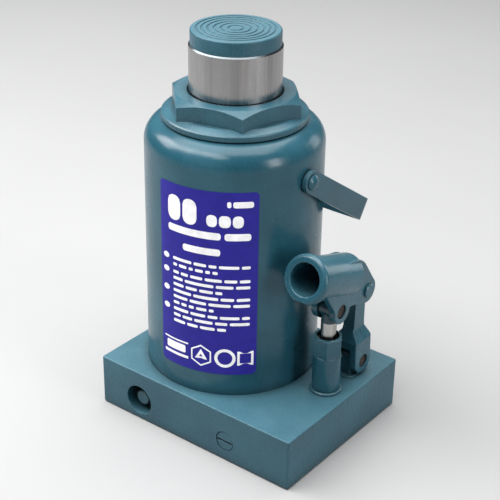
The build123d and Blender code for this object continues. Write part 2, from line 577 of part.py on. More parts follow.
plunger_gland_nut = turned([
    (PUMP_BORE, GLAND_FOOT), (PUMP_RECESS_RADIUS, GLAND_FOOT), (PUMP_RECESS_RADIUS, GLAND_TOP - 0.5),
    (PUMP_RECESS_RADIUS - 0.5, GLAND_TOP), (PUMP_BORE + 0.6, GLAND_TOP),
    (PUMP_BORE, GLAND_TOP - 0.6),
], "Z", PUMP_ORIGIN)
save(plunger_gland_nut, "plunger_gland_nut")

# Plunger: a ground rod with a flat eye, which is slotted for the pin
EYE_RADIUS = 6.6
EYE_HALF = 4.8
EYE_LENGTH = 10.6  # from the pin down to the foot of the flats
PLUNGER_EDGE = 0.6
SLOT_HALF_LENGTH = PLUNGER_PIN_RADIUS + EYE_PLAY + 0.15
SLOT_HALF_HEIGHT = PLUNGER_PIN_RADIUS + 0.25
FLAT = PLUNGER_RADIUS - EYE_HALF
with BuildPart() as pump_plunger:
    with BuildSketch(Plane.XY.offset(PLUNGER_FOOT)):
        with Locations((PUMP_X, 0)):
            Circle(PLUNGER_RADIUS)
    extrude(amount=PLUNGER_PIVOT[1] - PLUNGER_FOOT)
    chamfer(pump_plunger.faces().sort_by(Axis.Z)[0].edges(), PLUNGER_EDGE)
    with BuildSketch(Plane.XZ.offset(-PLUNGER_RADIUS)):
        with Locations((PUMP_X - EYE_HALF - FLAT, PLUNGER_PIVOT[1]),
                       (PUMP_X + EYE_HALF + FLAT, PLUNGER_PIVOT[1])):
            Rectangle(2 * FLAT, 2 * EYE_LENGTH)
    extrude(amount=2 * PLUNGER_RADIUS, mode=Mode.SUBTRACT)
    with BuildSketch(Plane.YZ.offset(PUMP_X - EYE_HALF)):
        with Locations(PLUNGER_PIVOT):
            Circle(EYE_RADIUS)
    extrude(amount=2 * EYE_HALF)
    with BuildSketch(Plane.YZ.offset(PUMP_X - PLUNGER_RADIUS)):
        with Locations((PLUNGER_PIVOT[0] + EYE_PLAY - TOUCH, PLUNGER_PIVOT[1])):
            SlotOverall(2 * SLOT_HALF_LENGTH, 2 * SLOT_HALF_HEIGHT)
    extrude(amount=2 * PLUNGER_RADIUS, mode=Mode.SUBTRACT)
save(pump_plunger, "pump_plunger")

# Link: a blade between the socket's ears, widening to a fork over the base's lug
BLADE_RADIUS = 8.2
FORK_RADIUS = 9.6
FORK_GAP = LUG_HALF + 0.4
FORK_CROTCH = 61
FORK_EASE = 0.9
FLARE_FOOT, FLARE_TOP = 68, 75  # the fork narrows to the blade between these heights
LINK_BACK = 50  # further back than any part of the link
LINK_DEPTH = 40
with BuildPart() as pump_link:
    with BuildSketch(Plane.YZ.offset(PUMP_X - BLADE_HALF)):
        with Locations(LINK_PIVOT):
            Circle(BLADE_RADIUS)
        with BuildLine():
            Polyline((25.6, 70), (26.6, 103), (38.2, 103), (38.6, 70), close=True)
        make_face()
    extrude(amount=2 * BLADE_HALF)
    with BuildSketch(Plane.YZ.offset(PUMP_X - EAR_OUTER)):
        with Locations(LUG_PIVOT):
            Circle(FORK_RADIUS)
        with BuildLine():
            Polyline((LUG_PIVOT[0] - FORK_RADIUS, LUG_PIVOT[1]), (21.6, 67), (25.6, 77),
                     (38.6, 77), (LUG_PIVOT[0] + FORK_RADIUS - 1, 70),
                     (LUG_PIVOT[0] + FORK_RADIUS, LUG_PIVOT[1]), close=True)
        make_face()
    extrude(amount=2 * EAR_OUTER)
    with BuildSketch(Plane.XZ.offset(-LINK_BACK)):
        for side in (1, -1):
            blade, cheek = PUMP_X + side * BLADE_HALF, PUMP_X + side * EAR_OUTER
            with BuildLine():
                Polyline((blade, FLARE_TOP + 5), (cheek + side * PAST, FLARE_TOP + 5),
                         (cheek + side * PAST, FLARE_FOOT - 1), (cheek, FLARE_FOOT),
                         (blade, FLARE_TOP), close=True)
            make_face()
    extrude(amount=LINK_DEPTH, mode=Mode.SUBTRACT)
    with BuildSketch(Plane.XZ.offset(-LINK_BACK)):
        with Locations((PUMP_X, FORK_CROTCH - LINK_DEPTH / 2)):
            Rectangle(2 * FORK_GAP, LINK_DEPTH)
    extrude(amount=LINK_DEPTH, mode=Mode.SUBTRACT)
    outer_faces = pump_link.faces().filter_by(Axis.X).group_by(Axis.X)
    fillet((outer_faces[0] + outer_faces[-1]).edges(), FORK_EASE)
    for pivot, hole in ((LUG_PIVOT, LUG_PIN_RADIUS + PRESS),
                        (LINK_PIVOT, LINK_PIN_RADIUS + RUNNING)):
        with BuildSketch(Plane.YZ.offset(PUMP_X - EAR_OUTER - PAST)):
            with Locations(pivot):
                Circle(hole)
        extrude(amount=2 * (EAR_OUTER + PAST), mode=Mode.SUBTRACT)
save(pump_link, "pump_link")


PIN_EDGE = 0.5
PIN_SUNK = (0.8, 1.2)  # how far a flush pin's ends lie inside the ears, left and right


def pin(radius, pivot, left, right):
    """A plain cross pin with chamfered ends, from x = left to x = right about the pump's axis."""
    return turned([(0, left), (radius - PIN_EDGE, left), (radius, left + PIN_EDGE),
                   (radius, right - PIN_EDGE), (radius - PIN_EDGE, right), (0, right)],
                  "X", (PUMP_X, *pivot))


save(pin(LUG_PIN_RADIUS, LUG_PIVOT, -EAR_OUTER + 1, EAR_OUTER - PIN_SUNK[1]), "lug_pin")

# Plunger pin: its flat head sits sunk in the right ear
plunger_pin = turned([
    (0, -EAR_OUTER + PIN_SUNK[0]), (PLUNGER_PIN_RADIUS - PIN_EDGE, -EAR_OUTER + PIN_SUNK[0]),
    (PLUNGER_PIN_RADIUS, -EAR_OUTER + PIN_SUNK[0] + PIN_EDGE),
    (PLUNGER_PIN_RADIUS, PIN_HEAD_FOOT), (PIN_HEAD_RADIUS, PIN_HEAD_FOOT),
    (PIN_HEAD_RADIUS, EAR_OUTER - PIN_SUNK[1] - 0.4),
    (PIN_HEAD_RADIUS - 0.4, EAR_OUTER - PIN_SUNK[1]), (0, EAR_OUTER - PIN_SUNK[1]),
], "X", (PUMP_X, *PLUNGER_PIVOT))
save(plunger_pin, "plunger_pin")

# Link pin: a raised head on the right, a groove and its circlip on the left
CLIP_GROOVE_RADIUS = 3.2
CLIP_LEFT, CLIP_RIGHT = -EAR_OUTER - 1.1, -EAR_OUTER - 0.1
CLIP_RADIUS, CLIP_OPENING = 6, 4.4
LINK_PIN_END = -EAR_OUTER - 2.2
LINK_HEAD_RADIUS, LINK_HEAD_TOP = 5.2, EAR_OUTER + 1.8
link_pin = turned([
    (0, LINK_PIN_END), (LINK_PIN_RADIUS - 0.4, LINK_PIN_END),
    (LINK_PIN_RADIUS, LINK_PIN_END + 0.4), (LINK_PIN_RADIUS, CLIP_LEFT),
    (CLIP_GROOVE_RADIUS, CLIP_LEFT), (CLIP_GROOVE_RADIUS, CLIP_RIGHT),
    (LINK_PIN_RADIUS, CLIP_RIGHT), (LINK_PIN_RADIUS, EAR_OUTER), (LINK_HEAD_RADIUS, EAR_OUTER),
    (LINK_HEAD_RADIUS, LINK_HEAD_TOP - 0.6), (LINK_HEAD_RADIUS - 0.7, LINK_HEAD_TOP),
    (0, LINK_HEAD_TOP),
], "X", (PUMP_X, *LINK_PIVOT))
save(link_pin, "link_pin")
with BuildPart() as link_pin_circlip:
    with BuildSketch(Plane.YZ.offset(PUMP_X + CLIP_LEFT)):
        with Locations(LINK_PIVOT):
            Circle(CLIP_RADIUS)
            Circle(CLIP_GROOVE_RADIUS + TOUCH, mode=Mode.SUBTRACT)
        with Locations((LINK_PIVOT[0] + CLIP_RADIUS, LINK_PIVOT[1])):
            Rectangle(2 * (CLIP_RADIUS - 1), CLIP_OPENING, mode=Mode.SUBTRACT)
    extrude(amount=CLIP_RIGHT - CLIP_LEFT)
save(link_pin_circlip, "link_pin_circlip")

# Handle socket: a blind tube with a rim, on two ears that carry the pins
tilt = radians(SOCKET_TILT)
mouth_out = Vector(0, -cos(tilt), sin(tilt))
mouth_plane = Plane(origin=SOCKET_MOUTH, x_dir=(1, 0, 0), z_dir=mouth_out)
# in this plane local x runs back along the tube and local y up across it
side_plane = Plane(origin=SOCKET_MOUTH, x_dir=-mouth_out, z_dir=(1, 0, 0))
link_station = side_plane.to_local_coords(Vector(PUMP_X, *LINK_PIVOT))
SLOT_RADIUS = BLADE_RADIUS + 0.6
SLOT_TOP = -SOCKET_RADIUS - 0.3
EAR_BACK_RADIUS = 20
LOBE_CENTRE = (PLUNGER_PIVOT[0] + 1, PLUNGER_PIVOT[1] - 0.7)
LOBE_RADIUS = 9
EAR_END_RADIUS = 9.6
EAR_EDGE = 0.8
SLOT_FRONT = -12
BELOW = -70  # lower than any part of the ears
with BuildPart() as handle_socket:
    with BuildSketch(Plane.YZ.offset(PUMP_X - EAR_OUTER)):
        with BuildLine():
            Polyline((33, 100), (27, 100), (14.3, 103.6), (8, LOBE_CENTRE[1]), (-5, 100.5),
                     (-9.4, 109.6), (-22, 129), (0, 141))
            FilletPolyline((0, 141), (24, 136.3), (41.6, 111), (33, 100),
                           radius=(EAR_BACK_RADIUS, 2))
        make_face()
        with Locations(LOBE_CENTRE):
            Circle(LOBE_RADIUS)
        with Locations(LINK_PIVOT):
            Circle(EAR_END_RADIUS)
    extrude(amount=2 * EAR_OUTER)
    fillet(handle_socket.faces().filter_by(Axis.X).edges(), EAR_EDGE)
    with BuildSketch(mouth_plane):
        Circle(SOCKET_RADIUS)
    extrude(amount=-SOCKET_LENGTH)
    with BuildSketch(side_plane):
        with BuildLine():
            Line((0, 0), (0, SOCKET_RIM_RADIUS - RIM_ROUND))
            RadiusArc((0, SOCKET_RIM_RADIUS - RIM_ROUND), (RIM_ROUND, SOCKET_RIM_RADIUS), RIM_ROUND)
            Polyline((RIM_ROUND, SOCKET_RIM_RADIUS), (SOCKET_RIM_LENGTH - 1, SOCKET_RIM_RADIUS),
                     (SOCKET_RIM_LENGTH + 2, SOCKET_RADIUS), (SOCKET_RIM_LENGTH + 2, 0), (0, 0))
        make_face()
    revolve(axis=Axis(SOCKET_MOUTH, mouth_out))
    with BuildSketch(side_plane.offset(-EAR_INNER)):
        with Locations((link_station.X, link_station.Y)):
            Circle(SLOT_RADIUS)
        with BuildLine():
            Polyline((SLOT_FRONT, SLOT_TOP), (link_station.X, SLOT_TOP),
                     (link_station.X, link_station.Y + SLOT_RADIUS),
                     (link_station.X + 30, link_station.Y + SLOT_RADIUS),
                     (link_station.X + 30, BELOW), (SLOT_FRONT, BELOW), close=True)
        make_face()
    extrude(amount=2 * EAR_INNER, mode=Mode.SUBTRACT)
    with BuildSketch(mouth_plane):
        Circle(SOCKET_BORE)
    extrude(amount=-SOCKET_DEPTH, mode=Mode.SUBTRACT)
    bore_edges = handle_socket.edges().filter_by(GeomType.CIRCLE).sort_by_distance(SOCKET_MOUTH)
    fillet(bore_edges[0:1], EAR_EDGE)
    for pivot, hole in ((PLUNGER_PIVOT, PLUNGER_PIN_RADIUS + PRESS),
                        (LINK_PIVOT, LINK_PIN_RADIUS + PRESS)):
        with BuildSketch(Plane.YZ.offset(PUMP_X - EAR_OUTER - PAST)):
            with Locations(pivot):
                Circle(hole)
        extrude(amount=2 * (EAR_OUTER + PAST), mode=Mode.SUBTRACT)
    with BuildSketch(Plane.YZ.offset(PUMP_X + PIN_HEAD_FOOT)):
        with Locations(PLUNGER_PIVOT):
            Circle(PIN_HEAD_RADIUS + PRESS)
    extrude(amount=EAR_OUTER - PIN_HEAD_FOOT + PAST, mode=Mode.SUBTRACT)
save(handle_socket, "handle_socket")

# Valve balls on their seats, and the cage over the suction ball
CAGE_HEIGHTS = (16.4, 18)
save(ball(BALL_RADIUS, (PUMP_X, 0, SUCTION_SEAT_HEIGHT + BALL_RISE + TOUCH)), "suction_ball")
save(ball(BALL_RADIUS, (0, 0, DELIVERY_SEAT_HEIGHT + BALL_RISE + TOUCH)), "delivery_ball")
save(ring(2, SUCTION_CHAMBER_RADIUS, *CAGE_HEIGHTS, "Z", PUMP_ORIGIN), "suction_ball_cage")

# Release valve: ball, spindle, its seal, gland nut and cross pin
RELEASE_AXIS = (RELEASE_X, 0, RELEASE_HEIGHT)
RELEASE_BALL_RADIUS = 3
RELEASE_BALL_Y = RELEASE_SEAT_Y - (RELEASE_BALL_RADIUS**2 - BALL_SEAT_RADIUS**2) ** 0.5 - TOUCH
STUB_RADIUS = 5.7
STUB_END_Y = BASE_FRONT + 3.8
STUB_PIN_Y = STUB_END_Y + 4.2
STUB_PIN_RADIUS = 1.5
NECK = 4
SPINDLE_SHOULDER_Y = RELEASE_GLAND_FOOT_Y + 2.2
BALL_CUP_Y = RELEASE_BALL_Y - RELEASE_BALL_RADIUS - TOUCH
GLAND_HEX_THICKNESS, GLAND_HEX_RADIUS = 1.5, 9.2
GLAND_FRONT_Y = BASE_FRONT + RELEASE_RECESS_DEPTH - GLAND_HEX_THICKNESS
STUB_BACK_Y = GLAND_FRONT_Y - 1.8
STUB_EDGE = 0.7
SEAL_GROOVE_Y = (-47.5, -44.5)
SEAL_OUTER = NECK + 2
save(ball(RELEASE_BALL_RADIUS, (RELEASE_X, RELEASE_BALL_Y, RELEASE_HEIGHT)), "release_ball")
with BuildPart() as release_spindle:
    with BuildSketch(turning_plane(RELEASE_AXIS, "Y")):
        with BuildLine():
            Polyline((0, STUB_END_Y), (STUB_RADIUS - STUB_EDGE, STUB_END_Y),
                     (STUB_RADIUS, STUB_END_Y + STUB_EDGE), (STUB_RADIUS, STUB_BACK_Y),
                     (NECK, STUB_BACK_Y), (NECK, SPINDLE_SHOULDER_Y),
                     (RELEASE_CHAMBER_RADIUS - RUNNING, SPINDLE_SHOULDER_Y),
                     (RELEASE_CHAMBER_RADIUS - RUNNING, -24), (3, -21), (3, BALL_CUP_Y),
                     (0, BALL_CUP_Y), close=True)
        make_face()
    revolve(axis=Axis(RELEASE_AXIS, (0, 1, 0)))
    with BuildSketch(Plane.YZ.offset(RELEASE_X - 2 * STUB_RADIUS)):
        with Locations((STUB_PIN_Y, RELEASE_HEIGHT)):
            Circle(STUB_PIN_RADIUS)
    extrude(amount=4 * STUB_RADIUS, mode=Mode.SUBTRACT)
save(release_spindle, "release_spindle")
STUB_PIN_REACH = 8.2
save(turned([(0, -STUB_PIN_REACH), (STUB_PIN_RADIUS - TOUCH, -STUB_PIN_REACH),
             (STUB_PIN_RADIUS - TOUCH, STUB_PIN_REACH), (0, STUB_PIN_REACH)],
            "X", (RELEASE_X, STUB_PIN_Y, RELEASE_HEIGHT)), "release_cross_pin")
with BuildPart() as release_gland_nut:
    with BuildSketch(Plane(origin=(RELEASE_X, GLAND_FRONT_Y, RELEASE_HEIGHT), z_dir=(0, 1, 0))):
        RegularPolygon(GLAND_HEX_RADIUS, 6)
    extrude(amount=GLAND_HEX_THICKNESS)
    with BuildSketch(Plane(origin=(RELEASE_X, GLAND_FRONT_Y + GLAND_HEX_THICKNESS, RELEASE_HEIGHT),
                           z_dir=(0, 1, 0))):
        Circle(RELEASE_THREAD_RADIUS - TOUCH)
    extrude(amount=RELEASE_GLAND_FOOT_Y - GLAND_FRONT_Y - GLAND_HEX_THICKNESS)
    with BuildSketch(Plane(origin=(RELEASE_X, GLAND_FRONT_Y - PAST, RELEASE_HEIGHT),
                           z_dir=(0, 1, 0))):
        Circle(NECK + RUNNING)
    extrude(amount=RELEASE_GLAND_FOOT_Y - GLAND_FRONT_Y + 2 * PAST, mode=Mode.SUBTRACT)
    with BuildSketch(Plane(origin=(RELEASE_X, SEAL_GROOVE_Y[0], RELEASE_HEIGHT),
                           z_dir=(0, 1, 0))):
        Circle(SEAL_OUTER)
    extrude(amount=SEAL_GROOVE_Y[1] - SEAL_GROOVE_Y[0], mode=Mode.SUBTRACT)
save(release_gland_nut, "release_gland_nut")
save(ring(NECK + RUNNING, SEAL_OUTER, *SEAL_GROOVE_Y, "Y", RELEASE_AXIS), "release_seal")

# Overload valve: ball, pusher, coil spring and slotted adjusting screw
OVERLOAD_AXIS = (OVERLOAD_X, 0, OVERLOAD_HEIGHT)
OVERLOAD_BALL_Y = OVERLOAD_SEAT_Y - BALL_RISE - TOUCH
PUSHER_BACK_Y = OVERLOAD_BALL_Y - BALL_RADIUS - TOUCH
PUSHER_FRONT_Y = OVERLOAD_BALL_Y - BALL_RADIUS - 3
PUSHER_STEM_RADIUS, PUSHER_STEM_LENGTH = 2.4, 4
PUSHER_RADIUS, PUSHER_RIM = 4.3, 1.8
SPRING_END_Y = -49
WIRE_RADIUS = 0.7
SPRING_RADIUS = 3.4
SPRING_TURNS = 7
save(ball(BALL_RADIUS, (OVERLOAD_X, OVERLOAD_BALL_Y, OVERLOAD_HEIGHT)), "overload_ball")
overload_pusher = turned([
    (0, PUSHER_FRONT_Y - PUSHER_STEM_LENGTH),
    (PUSHER_STEM_RADIUS, PUSHER_FRONT_Y - PUSHER_STEM_LENGTH),
    (PUSHER_STEM_RADIUS, PUSHER_FRONT_Y), (PUSHER_RADIUS, PUSHER_FRONT_Y),
    (PUSHER_RADIUS, PUSHER_FRONT_Y + PUSHER_RIM), (PUSHER_STEM_RADIUS, PUSHER_BACK_Y),
    (0, PUSHER_BACK_Y),
], "Y", OVERLOAD_AXIS)
save(overload_pusher, "overload_pusher")
spring_length = PUSHER_FRONT_Y - SPRING_END_Y - 2 * (WIRE_RADIUS + RUNNING)
spring_start = (OVERLOAD_X, SPRING_END_Y + WIRE_RADIUS + RUNNING, OVERLOAD_HEIGHT)
with BuildPart() as overload_spring:
    with BuildLine():
        coil = Helix(spring_length / SPRING_TURNS, spring_length, SPRING_RADIUS,
                     center=spring_start, direction=(0, 1, 0))
    with BuildSketch(Plane(origin=coil @ 0, z_dir=coil % 0)):
        Circle(WIRE_RADIUS)
    sweep(path=coil, is_frenet=True)
save(overload_spring, "overload_spring")
SCREW_FRONT_Y = BASE_FRONT + 0.3
SCREW_EDGE = 0.7
SPRING_STUB_RADIUS, SPRING_STUB_END = 2.2, SPRING_END_Y + 4
SCREW_SLOT_WIDTH, SCREW_SLOT_DEPTH = 1.6, 1.2
with BuildPart() as overload_screw:
    with BuildSketch(turning_plane(OVERLOAD_AXIS, "Y")):
        with BuildLine():
            Polyline((0, SCREW_FRONT_Y), (OVERLOAD_THREAD_RADIUS - SCREW_EDGE, SCREW_FRONT_Y),
                     (OVERLOAD_THREAD_RADIUS, SCREW_FRONT_Y + SCREW_EDGE),
                     (OVERLOAD_THREAD_RADIUS, BASE_FRONT + OVERLOAD_THREAD_DEPTH),
                     (OVERLOAD_CHAMBER_RADIUS, BASE_FRONT + OVERLOAD_THREAD_DEPTH),
                     (OVERLOAD_CHAMBER_RADIUS, SPRING_END_Y), (SPRING_STUB_RADIUS, SPRING_END_Y),
                     (SPRING_STUB_RADIUS, SPRING_STUB_END), (0, SPRING_STUB_END), close=True)
        make_face()
    revolve(axis=Axis(OVERLOAD_AXIS, (0, 1, 0)))
    with BuildSketch(Plane(origin=(OVERLOAD_X, SCREW_FRONT_Y, OVERLOAD_HEIGHT),
                           x_dir=(1, 0, 0), z_dir=(0, 1, 0))):
        Rectangle(2 * OVERLOAD_THREAD_RADIUS - 2, SCREW_SLOT_WIDTH)
    extrude(amount=SCREW_SLOT_DEPTH, mode=Mode.SUBTRACT)
save(overload_screw, "overload_screw")
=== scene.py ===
"""The bottle jack's looks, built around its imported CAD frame. Metres, +Z up, -Y front, +X pump."""

import json
import math
import random

import bmesh
import bpy
from mathutils import Matrix, Vector


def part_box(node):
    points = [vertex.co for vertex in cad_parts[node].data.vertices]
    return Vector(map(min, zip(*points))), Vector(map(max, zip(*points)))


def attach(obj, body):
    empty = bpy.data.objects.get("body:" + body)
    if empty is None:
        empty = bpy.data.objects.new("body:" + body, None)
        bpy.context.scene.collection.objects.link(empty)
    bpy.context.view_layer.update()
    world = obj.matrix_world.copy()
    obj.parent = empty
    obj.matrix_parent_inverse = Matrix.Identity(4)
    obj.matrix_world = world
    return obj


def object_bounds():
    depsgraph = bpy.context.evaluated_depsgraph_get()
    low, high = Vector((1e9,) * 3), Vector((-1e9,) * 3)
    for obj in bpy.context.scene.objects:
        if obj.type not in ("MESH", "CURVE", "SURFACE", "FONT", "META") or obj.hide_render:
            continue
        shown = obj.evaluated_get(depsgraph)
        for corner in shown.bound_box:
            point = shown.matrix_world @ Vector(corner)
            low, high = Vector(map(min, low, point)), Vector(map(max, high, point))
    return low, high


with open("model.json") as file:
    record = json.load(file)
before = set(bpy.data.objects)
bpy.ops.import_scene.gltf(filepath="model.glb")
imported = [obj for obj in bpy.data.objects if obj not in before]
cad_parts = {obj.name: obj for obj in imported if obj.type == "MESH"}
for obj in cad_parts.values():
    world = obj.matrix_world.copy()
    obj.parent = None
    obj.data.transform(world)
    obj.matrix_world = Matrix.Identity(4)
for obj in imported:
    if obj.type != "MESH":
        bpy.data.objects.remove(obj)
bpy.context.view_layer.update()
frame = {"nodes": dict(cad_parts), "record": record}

MM = 0.001
MIX_FACTOR, MIX_FIRST, MIX_SECOND, MIX_RESULT = 0, 6, 7, 2  # a colour mix node's own sockets
EASE_SAMPLES = 4  # for the eased edges
AIR_SAMPLES = 8  # for the painted shade in corners


# ---------------------------------------------------------------- materials

class Shader:
    """A small helper that builds one node material."""

    def __init__(self, name):
        self.material = bpy.data.materials.new(name)
        self.material.use_nodes = True
        self.nodes = self.material.node_tree.nodes
        self.links = self.material.node_tree.links
        self.surface = self.nodes["Principled BSDF"]
        self.place = self.nodes.new("ShaderNodeTexCoord").outputs["Object"]

    def link(self, source, target):
        self.links.new(source, target)

    def set(self, **values):
        """Set constant values on the shader's own sockets."""
        for key, value in values.items():
            self.surface.inputs[key.replace("_", " ")].default_value = value

    def stretched(self, scale):
        """The place, scaled along each axis."""
        node = self.nodes.new("ShaderNodeMapping")
        node.inputs["Scale"].default_value = scale
        self.link(self.place, node.inputs["Vector"])
        return node.outputs["Vector"]

    def noise(self, scale, detail=3.0, rough=0.5, place=None):
        node = self.nodes.new("ShaderNodeTexNoise")
        node.inputs["Scale"].default_value = scale
        node.inputs["Detail"].default_value = detail
        node.inputs["Roughness"].default_value = rough
        self.link(place or self.place, node.inputs["Vector"])
        return node.outputs["Fac"]

    def ramp(self, source, *stops):
        """A colour ramp of (position, colour) stops; a number is a grey."""
        node = self.nodes.new("ShaderNodeValToRGB")
        elements = node.color_ramp.elements
        while len(elements) < len(stops):
            elements.new(0.5)
        for element, (position, colour) in zip(elements, stops):
            element.position = position
            grey = isinstance(colour, (int, float))
            element.color = (colour,) * 3 + (1,) if grey else (*colour, 1)
        self.link(source, node.inputs["Fac"])
        return node.outputs["Color"]

    def math(self, operation, first, second):
        node = self.nodes.new("ShaderNodeMath")
        node.operation = operation
        for socket, value in zip(node.inputs, (first, second)):
            if isinstance(value, (int, float)):
                socket.default_value = value
            else:
                self.link(value, socket)
        return node.outputs["Value"]

    def mix(self, factor, first, second):
        """first to second, as colours, by a factor."""
        node = self.nodes.new("ShaderNodeMix")
        node.data_type = "RGBA"
        for index, value in ((MIX_FACTOR, factor), (MIX_FIRST, first), (MIX_SECOND, second)):
            socket = node.inputs[index]
            if isinstance(value, (int, float)):
                socket.default_value = value
            elif isinstance(value, tuple):
                socket.default_value = (*value, 1)
            else:
                self.link(value, socket)
        return node.outputs[MIX_RESULT]

    def bump(self, height, distance, below=None):
        node = self.nodes.new("ShaderNodeBump")
        node.inputs["Distance"].default_value = distance
        self.link(height, node.inputs["Height"])
        if below is not None:
            self.link(below, node.inputs["Normal"])
        return node.outputs["Normal"]

    def soft_normal(self, radius):
        """The normal with the part's sharp edges eased over a radius."""
        node = self.nodes.new("ShaderNodeBevel")
        node.samples = EASE_SAMPLES
        node.inputs["Radius"].default_value = radius
        return node.outputs["Normal"]

    def edges(self, eased):
        """A mask of the part's edges: how far the eased normal leaves the true one."""
        true = self.nodes.new("ShaderNodeNewGeometry").outputs["Normal"]
        node = self.nodes.new("ShaderNodeVectorMath")
        node.operation = "DOT_PRODUCT"
        self.link(eased, node.inputs[0])
        self.link(true, node.inputs[1])
        return self.math("SUBTRACT", 1.0, node.outputs["Value"])

    def open_air(self, distance):
        """How open the surface is within a distance: low in recesses and corners."""
        node = self.nodes.new("ShaderNodeAmbientOcclusion")
        node.samples = AIR_SAMPLES
        node.inputs["Distance"].default_value = distance
        return node.outputs["AO"]

    def upward(self):
        """How far the surface faces up, from 0 to 1."""
        true = self.nodes.new("ShaderNodeNewGeometry").outputs["Normal"]
        split = self.nodes.new("ShaderNodeSeparateXYZ")
        self.link(true, split.inputs["Vector"])
        return self.math("MAXIMUM", split.outputs["Z"], 0.0)

    def colour(self, source):
        self.link(source, self.surface.inputs["Base Color"])

    def roughness(self, source):
        self.link(source, self.surface.inputs["Roughness"])

    def normal(self, source):
        self.link(source, self.surface.inputs["Normal"])


TEAL = (0.013, 0.069, 0.098)
TEAL_DARK = (0.008, 0.047, 0.071)
TEAL_LIGHT = (0.027, 0.104, 0.142)
# lighter teal for edges: worn paint, and also a painted highlight along them
TEAL_WORN_AND_GLINT = (0.110, 0.235, 0.285)
# a pale tint for faces that look up: dust, and also painted top light
TOP_DUST_AND_LIGHT = (0.125, 0.250, 0.300)
SPECK = (0.045, 0.150, 0.200)
# near black: painted shade in the enamel's corners, and dark grime on the plunger's eye
SHADE_AND_GRIME = (0.006, 0.018, 0.024)
UP_FACE_SHADE = (0.09, 0.11, 0.12)  # painted shade: steel that faces up is darkened, dimming its highlight

# how fine each pattern of the enamel is, as a noise scale
DRIFT_SCALE = 22
PATCH_SCALE = 38
SMEAR_SCALE = 45
EDGE_PATCH_SCALE = 170
CAST_SCALE = 330
PEEL_SCALE = 420
SPECK_SCALE = 950

SMOOTH = 0.1 * MM  # a cast skin no deeper than this reads as smooth enamel
SPECK_CAST, SPECK_SMOOTH = 0.34, 0.15  # how strongly specks show on each
CORNER_SHADE_REACH = 11 * MM
EDGE_RADIUS = 0.7 * MM
EYE_SPAN = 17.2 * MM  # the plunger's eye and flats, down from its top
STEEL_GRAIN = 0.012 * MM
TURNED_DEPTH = 0.006 * MM
ROUGH_SPREAD = 0.12  # from the glossiest part of a surface to the dullest


def enamel(name, cast=0.0, peel=0.04 * MM, gloss=0.24, top_dust_and_light=0.35, shine=0.42, corner_shade=0.85):
    """Teal enamel.

    cast and peel are the depths, in metres, of the cast skin under it and of its own orange
    peel. gloss is its roughness where it shines most. What faces up is lightened, partly as dust
    and partly as painted top light.
    """
    shader = Shader(name)
    drift = shader.noise(DRIFT_SCALE, 4, 0.55)
    speck = shader.noise(SPECK_SCALE, 3, 0.7)
    shade = shader.ramp(drift, (0.25, TEAL_DARK), (0.5, TEAL), (0.8, TEAL_LIGHT))
    grain = shader.ramp(speck, (0.45, 0.0), (0.64, 1.0))
    strength = SPECK_CAST if cast > SMOOTH else SPECK_SMOOTH
    shade = shader.mix(shader.math("MULTIPLY", grain, strength), shade, SPECK)

    # painted light and dust: faces that look up are lightened in patches, partly as dust and partly
    # as painted top light
    top_dust_and_light_mask = shader.math("POWER", shader.upward(), 3.0)
    patchy = shader.ramp(shader.noise(PATCH_SCALE, 5, 0.65), (0.25, 0.55), (0.75, 1.0))
    top_dust_and_light_mask = shader.math("MULTIPLY", shader.math("MULTIPLY", top_dust_and_light_mask, patchy), top_dust_and_light)
    shade = shader.mix(top_dust_and_light_mask, shade, TOP_DUST_AND_LIGHT)

    eased = shader.soft_normal(EDGE_RADIUS)
    # painted highlight and wear: edges are lightened in patches, partly as worn paint and partly as
    # the glint of light on the fillets
    rim = shader.ramp(shader.edges(eased), (0.02, 0.0), (0.16, 1.0))
    glint_and_wear_patches = shader.ramp(shader.noise(EDGE_PATCH_SCALE, 4, 0.6), (0.35, 0.15), (0.65, 0.9))
    shade = shader.mix(shader.math("MULTIPLY", rim, glint_and_wear_patches), shade, TEAL_WORN_AND_GLINT)

    # painted shade: recesses, corners and gaps between parts are darkened towards near black
    corner_shade_mask = shader.ramp(shader.open_air(CORNER_SHADE_REACH), (0.25, corner_shade), (0.85, 0.0))
    shader.colour(shader.mix(corner_shade_mask, shade, SHADE_AND_GRIME))
    smear = shader.noise(SMEAR_SCALE, 5, 0.6)
    shader.roughness(shader.ramp(smear, (0.3, gloss), (0.75, gloss + ROUGH_SPREAD)))
    normal = shader.bump(shader.noise(PEEL_SCALE, 2, 0.5), peel, below=eased)
    if cast:
        normal = shader.bump(shader.noise(CAST_SCALE, 5, 0.62), cast, below=normal)
    shader.normal(normal)
    shader.set(IOR=1.5, Specular_IOR_Level=shine)
    return shader.material


def steel(name, colour, rough, streak, lines=None):
    """Bare steel. streak stretches the grain; lines is the wave scale of turned lines along Z."""
    shader = Shader(name)
    grain = shader.noise(1.0, 6, 0.65, shader.stretched(streak))
    dark = tuple(channel * 0.72 for channel in colour)
    warm = (colour[0], colour[1] * 0.93, colour[2] * 0.86)
    shade = shader.ramp(grain, (0.3, dark), (0.55, colour), (0.75, warm))
    # painted shade: the steel is darkened where it faces up, dimming the highlight from the lamps
    # above
    shader.colour(shader.mix(shader.math("MULTIPLY", shader.upward(), 1.2), shade, UP_FACE_SHADE))
    shader.roughness(shader.ramp(grain, (0.25, rough), (0.8, rough + ROUGH_SPREAD)))
    normal = shader.bump(grain, STEEL_GRAIN)
    if lines:
        wave = shader.nodes.new("ShaderNodeTexWave")
        wave.bands_direction = "Z"
        wave.inputs["Scale"].default_value = lines
        wave.inputs["Distortion"].default_value = 0.4
        shader.link(shader.place, wave.inputs["Vector"])
        normal = shader.bump(wave.outputs["Fac"], TURNED_DEPTH, below=normal)
    shader.normal(normal)
    shader.set(Metallic=1.0, Anisotropic=0.5)
    return shader.material


